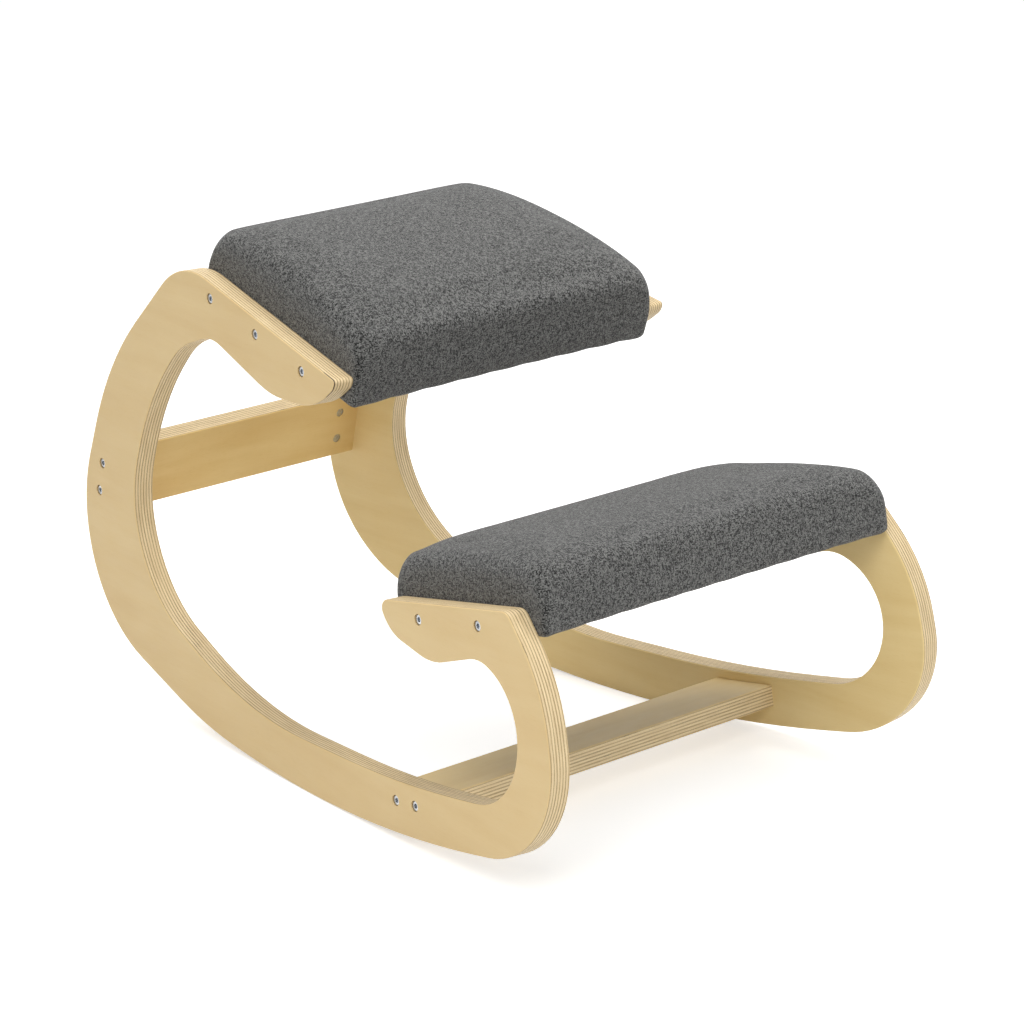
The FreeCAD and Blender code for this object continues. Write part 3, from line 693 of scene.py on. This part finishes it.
class ChairSettings(bpy.types.PropertyGroup):
    """Sizes and colours of the chair's dressing."""
    seat_crown: FloatProperty(
        name="Seat Crown", description="Rise of the seat's middle above its edges at rest",
        default=0.0215, min=0.0, max=0.04, unit="LENGTH")
    knee_crown: FloatProperty(
        name="Knee Crown", description="Rise of the knee rest's middle above its edges at rest",
        default=0.0120, min=0.0, max=0.03, unit="LENGTH")
    swell: FloatProperty(
        name="Swell", description="Farthest that the filling pushes the cloth out",
        default=0.0065, min=0.0, max=0.03, unit="LENGTH")
    pressure: FloatProperty(
        name="Pressure", description="Pressure of the filling on the cloth",
        default=4.0, min=0.0, max=20.0)
    yarn: FloatProperty(
        name="Yarn", description="Distance between neighbouring yarns of the cloth",
        default=0.0012, min=0.0003, max=0.005, unit="LENGTH")
    cloth_dark: FloatVectorProperty(
        name="Dark Yarn", description="Colour of the cloth's dark yarns",
        default=(0.002, 0.002, 0.002), min=0.0, max=1.0, subtype="COLOR")
    cloth_light: FloatVectorProperty(
        name="Light Yarn", description="Colour of the cloth's light yarns",
        default=(0.205, 0.205, 0.196), min=0.0, max=1.0, subtype="COLOR")
    veneer_light: FloatVectorProperty(
        name="Veneer Light", description="Light tone of the face veneer",
        default=(0.80, 0.61, 0.32), min=0.0, max=1.0, subtype="COLOR")
    veneer_dark: FloatVectorProperty(
        name="Veneer Dark", description="Dark tone of the face veneer",
        default=(0.69, 0.48, 0.215), min=0.0, max=1.0, subtype="COLOR")
    edge_light: FloatVectorProperty(
        name="Edge Light", description="Light tone of the plywood's cut edge",
        default=(0.88, 0.71, 0.43), min=0.0, max=1.0, subtype="COLOR")
    edge_dark: FloatVectorProperty(
        name="Edge Dark", description="Dark tone of the plywood's cut edge",
        default=(0.50, 0.35, 0.17), min=0.0, max=1.0, subtype="COLOR")
    glue: FloatVectorProperty(
        name="Glue Line", description="Colour of the glue between the plies",
        default=(0.20, 0.12, 0.055), min=0.0, max=1.0, subtype="COLOR")
    zinc: FloatVectorProperty(
        name="Zinc", description="Colour of the zinc plating",
        default=(0.60, 0.62, 0.64), min=0.0, max=1.0, subtype="COLOR")
    staple_pitch: FloatProperty(
        name="Staple Pitch", description="Distance between staples round a pad's underside",
        default=0.048, min=0.01, max=0.2, unit="LENGTH")
    staple_width: FloatProperty(
        name="Staple Width", description="Width of a staple's crown",
        default=0.011, min=0.003, max=0.03, unit="LENGTH")
    staple_leg: FloatProperty(
        name="Staple Leg", description="Length of a staple's leg",
        default=0.008, min=0.002, max=0.03, unit="LENGTH")
    staple_wire: FloatProperty(
        name="Staple Wire", description="Thickness of a staple's wire",
        default=0.001, min=0.0003, max=0.003, unit="LENGTH")
    cover_sag: FloatProperty(
        name="Dust Cover Sag", description="How far a dust cover hangs in its middle",
        default=0.003, min=0.0, max=0.02, unit="LENGTH")


class CHAIR_OT_plywood(bpy.types.Operator):
    """Gives the side frames and crossbars their birch plywood"""
    bl_idname = "chair.plywood"
    bl_label = "Plywood"

    def execute(self, context):
        group = plywood_group(wood_grain_group())
        side = Matrix((FRAME_FORWARD, FRAME_UP, FRAME_OUTWARD))
        side = (side, -(side @ FRAME_START))
        boards = {"right_side_frame": side, "left_side_frame": side,
                  "rear_crossbar": board_axes(*REAR_BAR_FACE),
                  "front_crossbar": board_axes(*FRONT_BAR_FACE)}
        for node, (turn, shift) in boards.items():
            name, tones_with_light = BOARD_WOODS[node]
            # The right frame's seat arm tip gets a near-black line of painted shade along its open
            # joint.
            split = SEAT_ARM_TIP if node == "right_side_frame" else None
            wear(node, plywood_material(
                name, group, turn, shift, node == "left_side_frame", tones_with_light, split))
        return {"FINISHED"}


class CHAIR_OT_fittings(bpy.types.Operator):
    """Gives bolts, nuts, inserts and screws their zinc plating"""
    bl_idname = "chair.fittings"
    bl_label = "Fittings"

    def execute(self, context):
        material = zinc_material()
        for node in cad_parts:
            if any(word in node for word in ("bolts", "nuts", "inserts", "screws")):
                wear(node, material)
        return {"FINISHED"}


def zinc_material():
    """Zinc plating, a little uneven, with fine turning marks."""
    found = bpy.data.materials.get("zinc_plating")
    if found is not None:
        return found
    material, make, shader = new_material("zinc_plating")
    place = make.add("ShaderNodeTexCoord").outputs["Object"]
    cloud = make.noise(place, 260.0, 3.0)
    marks = make.noise(make.stretch(place, (400.0, 2600.0, 2600.0)), 1.0, 2.0)
    zinc = settings().zinc
    dull = (zinc[0] * 0.72, zinc[1] * 0.74, zinc[2] * 0.78, 1.0)
    colour = make.blend(make.spread(cloud, 0.35, 0.65), (*zinc, 1.0), dull)
    shader.inputs["Metallic"].default_value = 1.0
    make.tree.links.new(make.spread(cloud, 0.3, 0.7, 0.24, 0.42), shader.inputs["Roughness"])
    finish_surface(make, shader, colour, marks, 0.00003)
    return material


class CHAIR_OT_pad_bases(bpy.types.Operator):
    """Gives the pads' hidden panels and rails their raw wood"""
    bl_idname = "chair.pad_bases"
    bl_label = "Pad Bases"

    def execute(self, context):
        grain = bpy.data.node_groups["Birch grain"]
        for pad in PADS.values():
            for part, turned in (("base_panel", False), ("front_rail", False),
                                 ("rear_rail", False), ("right_rail", True),
                                 ("left_rail", True)):
                material, make, shader = new_material(pad.name + "_" + part + "_wood")
                place = make.add("ShaderNodeTexCoord").outputs["Object"]
                quarter = math.pi / 2 if turned else 0.0
                mapped = make.add("ShaderNodeMapping", {
                    "Vector": place, "Rotation": (0.0, 0.0, quarter)})
                wood = make.add("ShaderNodeGroup", {
                    "Vector": mapped.outputs[0], "Light": (0.66, 0.48, 0.27, 1.0),
                    "Dark": (0.46, 0.29, 0.13, 1.0)}, node_tree=grain)
                shader.inputs["Roughness"].default_value = 0.72
                finish_surface(make, shader, wood.outputs["Color"], wood.outputs["Height"],
                               0.0003)
                wear(pad.name + "_" + part, material)
        return {"FINISHED"}


def cloth_material():
    """Dark grey mottled weave with a soft sheen."""
    found = bpy.data.materials.get("mottled_cloth")
    if found is not None:
        return found
    chair = settings()
    material, make, shader = new_material("mottled_cloth")
    place = make.add("ShaderNodeUVMap", uv_map="cloth_map").outputs[0]
    weave = make.add("ShaderNodeGroup", {
        "Vector": place, "Yarn": chair.yarn, "Dark": (*chair.cloth_dark, 1.0),
        "Light": (*chair.cloth_light, 1.0)}, node_tree=weave_group())
    shader.inputs["Roughness"].default_value = 0.92
    shader.inputs["Specular IOR Level"].default_value = 0.2
    shader.inputs["Sheen Weight"].default_value = 0.25
    shader.inputs["Sheen Roughness"].default_value = 0.5
    finish_surface(make, shader, weave.outputs["Color"], weave.outputs["Height"], 0.0003)
    return material


class CHAIR_OT_cushion(bpy.types.Operator):
    """Builds a pad's stuffed cushion: crowned, drawn in and wrapped under its base"""
    bl_idname = "chair.cushion"
    bl_label = "Cushion"
    pad: EnumProperty(name="Pad", description="Which pad to build", items=PAD_ITEMS)

    def execute(self, context):
        pad = PADS[self.pad]
        chair = settings()
        shape = dict(CUSHION_SHAPES[self.pad])
        shape["crown"] = chair.seat_crown if self.pad == "seat" else chair.knee_crown
        low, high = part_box(self.pad + "_cover")
        height = shape["edge"] + shape["crown"]
        counts = (round((high.x - low.x) / PAD_GRID),
                  round((pad.front - pad.rear) / PAD_GRID), round(height / PAD_GRID))
        shares, quads = block_surface(counts)
        points = np.array([
            pad.place(2 * s[0] - 1, pad.rear + (pad.front - pad.rear) * (1 - s[1]),
                      pad.bottom + height * s[2]) for s in shares])

        def form(where):
            return cushion_form(pad, shape, where)

        points = wrap_form(form, points, quads)
        piece = make_object(self.pad + "_cushion", points, quads)
        held = np.nonzero(pad.local(points)[2] < pad.bottom + HELD_HEIGHT)[0]
        swollen = puff_up(piece, held, chair.pressure, chair.swell)
        limit = pad.half_width(swollen) - PAD_GAP
        swollen[:, 0] = np.clip(swollen[:, 0], -limit, limit)
        set_places(piece.data, swollen)
        smoother = piece.modifiers.new("Subdivision", "SUBSURF")
        smoother.levels = smoother.render_levels = 1
        bake_modifiers(piece)
        lay_map(piece, pad)
        piece.data.materials.append(cloth_material())
        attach(piece, ROOT)
        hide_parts(self.pad + "_cover", self.pad + "_foam")
        return {"FINISHED"}


DUST_MARGIN = 0.015
DUST_CLOTH = 0.0006
DUST_ROWS = 56
DUST_RIPPLE = 0.0004
STAPLE_MARGIN = DUST_MARGIN + 0.002


def dust_cloth_material():
    """Black spun cloth with a fine embossed grid."""
    found = bpy.data.materials.get("black_spun_cloth")
    if found is not None:
        return found
    material, make, shader = new_material("black_spun_cloth")
    place = make.add("ShaderNodeUVMap", uv_map="cloth_map").outputs[0]
    cells = make.add("ShaderNodeTexVoronoi", {"Vector": place, "Scale": 620.0,
                                              "Randomness": 0.15})
    fibres = make.noise(place, 900.0, 4.0, 0.7)
    colour = make.blend(make.spread(fibres, 0.35, 0.7), (0.009, 0.009, 0.010, 1.0),
                        (0.030, 0.030, 0.032, 1.0))
    shader.inputs["Roughness"].default_value = 0.85
    height = make.math("ADD", cells.outputs["Distance"], make.math("MULTIPLY", fibres, 0.4))
    finish_surface(make, shader, colour, height, 0.0002)
    return material


class CHAIR_OT_dust_cover(bpy.types.Operator):
    """Builds the black cloth stapled under a pad, with its slight sag"""
    bl_idname = "chair.dust_cover"
    bl_label = "Dust Cover"
    pad: EnumProperty(name="Pad", description="Which pad to build", items=PAD_ITEMS)

    def execute(self, context):
        pad = PADS[self.pad]
        sag = settings().cover_sag
        rear, front = pad.rear + DUST_MARGIN, pad.front - DUST_MARGIN
        columns = DUST_ROWS * 3 // 2
        points = []
        for i in range(DUST_ROWS + 1):
            along = rear + (front - rear) * i / DUST_ROWS
            run = 2 * i / DUST_ROWS - 1
            for j in range(columns + 1):
                side = 2 * j / columns - 1
                edge = pad.place(1, along, pad.bottom)[0]
                hang = sag * (1 - abs(run) ** 2.5) * (1 - abs(side) ** 3)
                ripple = DUST_RIPPLE * math.sin(9.0 * side + 5.0 * run) * (1 - run ** 2)
                point = pad.place(0, along, pad.bottom - DUST_CLOTH / 2 - hang - abs(ripple))
                point[0] = side * (edge - DUST_MARGIN / abs(FRAME_OUTWARD.x))
                points.append(point)
        row = columns + 1
        quads = [(i * row + j, (i + 1) * row + j, (i + 1) * row + j + 1, i * row + j + 1)
                 for i in range(DUST_ROWS) for j in range(columns)]
        piece = make_object(self.pad + "_dust_cloth", points, quads)
        widths = [pad.place(1, a, pad.bottom)[0] * 2 - 2 * DUST_MARGIN for a in (rear, front)]
        lay_map(piece, pad)
        shell = piece.modifiers.new("Thickness", "SOLIDIFY")
        shell.thickness = DUST_CLOTH
        shell.offset = 0.0
        bake_modifiers(piece)
        piece.data.materials.append(dust_cloth_material())
        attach(piece, ROOT)
        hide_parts(self.pad + "_dust_cover")
        return {"FINISHED"}


class CHAIR_OT_staples(bpy.types.Operator):
    """Drives the staples through dust cover and cloth round a pad's underside"""
    bl_idname = "chair.staples"
    bl_label = "Staples"
    pad: EnumProperty(name="Pad", description="Which pad to build", items=PAD_ITEMS)

    def execute(self, context):
        pad = PADS[self.pad]
        chair = settings()
        half = chair.staple_width / 2
        points = []
        edges = []
        for place, direction in staple_places(pad, STAPLE_MARGIN, chair.staple_pitch):
            crown = place - pad.up * (DUST_CLOTH + chair.staple_wire / 2)
            first = len(points)
            points += [crown - direction * half + pad.up * chair.staple_leg,
                       crown - direction * half, crown + direction * half,
                       crown + direction * half + pad.up * chair.staple_leg]
            edges += [(first + i, first + i + 1) for i in range(3)]
        mesh = bpy.data.meshes.new(self.pad + "_staples")
        mesh.from_pydata([tuple(p) for p in points], edges, [])
        piece = bpy.data.objects.new(self.pad + "_staples", mesh)
        context.scene.collection.objects.link(piece)
        tree = staple_tree()
        bender = piece.modifiers.new("Staple Wire", "NODES")
        bender.node_group = tree
        values = {"Wire": chair.staple_wire, "Bend": chair.staple_wire * 0.9,
                  "Material": zinc_material()}
        for item in tree.interface.items_tree:
            if item.item_type == "SOCKET" and item.in_out == "INPUT" and item.name in values:
                bender[item.identifier] = values[item.name]
        bake_modifiers(piece)
        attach(piece, ROOT)
        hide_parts(self.pad + "_cover_staples")
        return {"FINISHED"}


def staple_tree():
    """Nodes that bend each staple's line and give it a flat wire."""
    found = bpy.data.node_groups.get("Bent staple")
    if found is not None:
        return found
    tree = bpy.data.node_groups.new("Bent staple", "GeometryNodeTree")
    face = tree.interface
    face.new_socket("Geometry", in_out="INPUT", socket_type="NodeSocketGeometry")
    for label in ("Wire", "Bend"):
        face.new_socket(label, in_out="INPUT", socket_type="NodeSocketFloat")
    face.new_socket("Material", in_out="INPUT", socket_type="NodeSocketMaterial")
    face.new_socket("Geometry", in_out="OUTPUT", socket_type="NodeSocketGeometry")
    make = NodeMaker(tree)
    given = make.add("NodeGroupInput").outputs
    line = make.add("GeometryNodeMeshToCurve", {0: given["Geometry"]})
    bend = make.add("GeometryNodeFilletCurve", {"Curve": line.outputs[0], "Count": 3,
                                                "Radius": given["Bend"]}, mode="POLY")
    flat = make.add("GeometryNodeCurvePrimitiveQuadrilateral", {
        "Width": given["Wire"], "Height": given["Wire"]})
    corners = make.add("GeometryNodeFilletCurve", {
        "Curve": flat.outputs[0], "Count": 1, "Limit Radius": True,
        "Radius": make.math("MULTIPLY", given["Wire"], 0.25)}, mode="POLY")
    wire = make.add("GeometryNodeCurveToMesh", {
        "Curve": bend.outputs[0], "Profile Curve": corners.outputs[0], "Fill Caps": True})
    real = make.add("GeometryNodeRealizeInstances", {0: wire.outputs[0]})
    coat = make.add("GeometryNodeSetMaterial", {"Geometry": real.outputs[0],
                                                "Material": given["Material"]})
    make.add("NodeGroupOutput", {0: coat.outputs[0]})
    return tree


def area_light(name, place, size, power):
    """Soft square lamp turned to the chair."""
    lamp = bpy.data.lights.new(name, "AREA")
    lamp.shape = "SQUARE"
    lamp.size = size
    lamp.energy = power
    holder = bpy.data.objects.new(name, lamp)
    holder.location = place
    aim = Vector(LAMP_TARGET) - Vector(place)
    holder.rotation_euler = aim.to_track_quat("-Z", "Y").to_euler()
    bpy.context.scene.collection.objects.link(holder)


def seen_rays(make):
    """One for rays that show a surface to the camera, straight or by a mirror or glass."""
    rays = make.add("ShaderNodeLightPath").outputs
    seen = make.math("MAXIMUM", rays["Is Camera Ray"], rays["Is Glossy Ray"])
    return make.math("MAXIMUM", seen, rays["Is Transmission Ray"])


class CHAIR_OT_stage(bpy.types.Operator):
    """Sets up the pale floor, the soft lights and the photo's camera"""
    bl_idname = "chair.stage"
    bl_label = "Stage"

    def execute(self, context):
        scene = context.scene
        half = FLOOR_HALF
        floor = make_object("floor", [(-half, -half, 0), (half, -half, 0), (half, half, 0),
                                      (-half, half, 0)], [(0, 1, 2, 3)])
        material, make, shader = new_material("pale_floor")
        shader.inputs["Base Color"].default_value = (0.86, 0.86, 0.85, 1.0)
        shader.inputs["Roughness"].default_value = 0.9
        seen = seen_rays(make)
        shader.inputs["Emission Color"].default_value = (1.0, 1.0, 1.0, 1.0)
        glow = make.math("MULTIPLY", seen, FLOOR_GLOW)
        make.tree.links.new(glow, shader.inputs["Emission Strength"])
        floor.data.materials.append(material)

        world = bpy.data.worlds.new("pale_room")
        scene.world = world
        world.use_nodes = True
        world.node_tree.nodes.clear()
        make = NodeMaker(world.node_tree)
        seen = seen_rays(make)
        strength = make.spread(seen, 0.0, 1.0, ROOM_LIGHT, 1.0)
        room = make.add("ShaderNodeBackground", {"Color": (1.0, 1.0, 1.0, 1.0),
                                                 "Strength": strength})
        make.add("ShaderNodeOutputWorld", {"Surface": room.outputs[0]})

        for lamp in LAMPS:
            area_light(*lamp)

        azimuth, elevation = math.radians(CAMERA_AZIMUTH), math.radians(CAMERA_ELEVATION)
        back = Vector((math.sin(azimuth) * math.cos(elevation),
                       -math.cos(azimuth) * math.cos(elevation), math.sin(elevation)))
        data = bpy.data.cameras.new("camera")
        data.lens = CAMERA_LENS
        data.sensor_width = 36.0
        data.shift_x, data.shift_y = CAMERA_SHIFT
        data.clip_start, data.clip_end = 0.1, 100.0
        camera = bpy.data.objects.new("camera", data)
        camera.location = CAMERA_PLACE
        camera.rotation_euler = (-back).to_track_quat("-Z", "Y").to_euler()
        scene.collection.objects.link(camera)
        scene.camera = camera
        scene.view_settings.view_transform = "Standard"
        return {"FINISHED"}


class CHAIR_PT_panel(bpy.types.Panel):
    """Sizes, colours and steps of the chair's dressing"""
    bl_label = "Kneeling Chair"
    bl_idname = "CHAIR_PT_panel"
    bl_space_type = "VIEW_3D"
    bl_region_type = "UI"
    bl_category = "Chair"

    def draw(self, context):
        layout = self.layout
        chair = context.scene.kneeling_chair
        for name in ChairSettings.__annotations__:
            layout.prop(chair, name)
        layout.operator("chair.plywood")
        layout.operator("chair.fittings")
        layout.operator("chair.pad_bases")
        for name, label, _ in PAD_ITEMS:
            for step in ("chair.cushion", "chair.dust_cover", "chair.staples"):
                button = layout.operator(step, text=label + ": " + step.split(".")[1])
                button.pad = name
        layout.operator("chair.stage")


CLASSES = (ChairSettings, CHAIR_OT_plywood, CHAIR_OT_fittings, CHAIR_OT_pad_bases,
           CHAIR_OT_cushion, CHAIR_OT_dust_cover, CHAIR_OT_staples, CHAIR_OT_stage,
           CHAIR_PT_panel)


def register():
    """Adds the classes and the settings to Blender."""
    for kind in CLASSES:
        bpy.utils.register_class(kind)
    bpy.types.Scene.kneeling_chair = PointerProperty(type=ChairSettings)


def unregister():
    """Takes them out again."""
    del bpy.types.Scene.kneeling_chair
    for kind in reversed(CLASSES):
        bpy.utils.unregister_class(kind)


def main():
    """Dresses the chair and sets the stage."""
    register()
    bpy.ops.chair.plywood()
    bpy.ops.chair.fittings()
    bpy.ops.chair.pad_bases()
    for name in PADS:
        bpy.ops.chair.cushion(pad=name)
        bpy.ops.chair.dust_cover(pad=name)
        bpy.ops.chair.staples(pad=name)
    bpy.ops.chair.stage()


if __name__ == "__main__":
    main()
